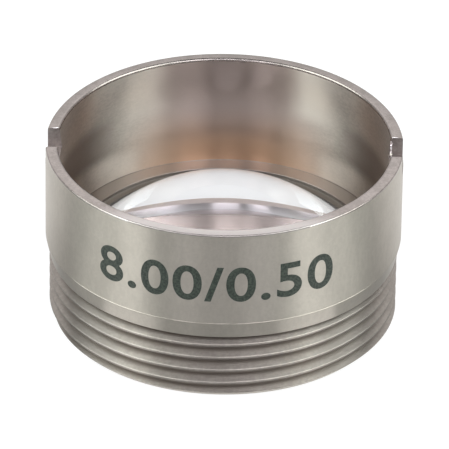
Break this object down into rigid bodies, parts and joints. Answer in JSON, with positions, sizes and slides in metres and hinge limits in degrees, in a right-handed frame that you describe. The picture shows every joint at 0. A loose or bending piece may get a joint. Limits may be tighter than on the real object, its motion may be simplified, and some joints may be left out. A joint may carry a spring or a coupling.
{
  "type": "mounted aspheric lens",
  "caption": "Round aspheric glass lens bonded in a steel cell with a fine external thread, a deep bore and spanner slots in the rim.",
  "frame": {"origin": "middle of the threaded end face, on the optical axis", "axes": "+Z along the optical axis and the thread, from the threaded end to the open rim; +X through the middle of a spanner slot"},
  "size_m": [0.0122, 0.0122, 0.0066],
  "materials": {
    "cell_steel": "fine-turned stainless steel",
    "lens_glass": "polished, with a thin antireflection coating",
    "adhesive": "cured clear adhesive, dark against the steel"
  },
  "bodies": {
    "root": {"lens_cell": "cell_steel", "aspheric_lens": "lens_glass", "adhesive_bead": "adhesive"}
  },
  "joints": []
}
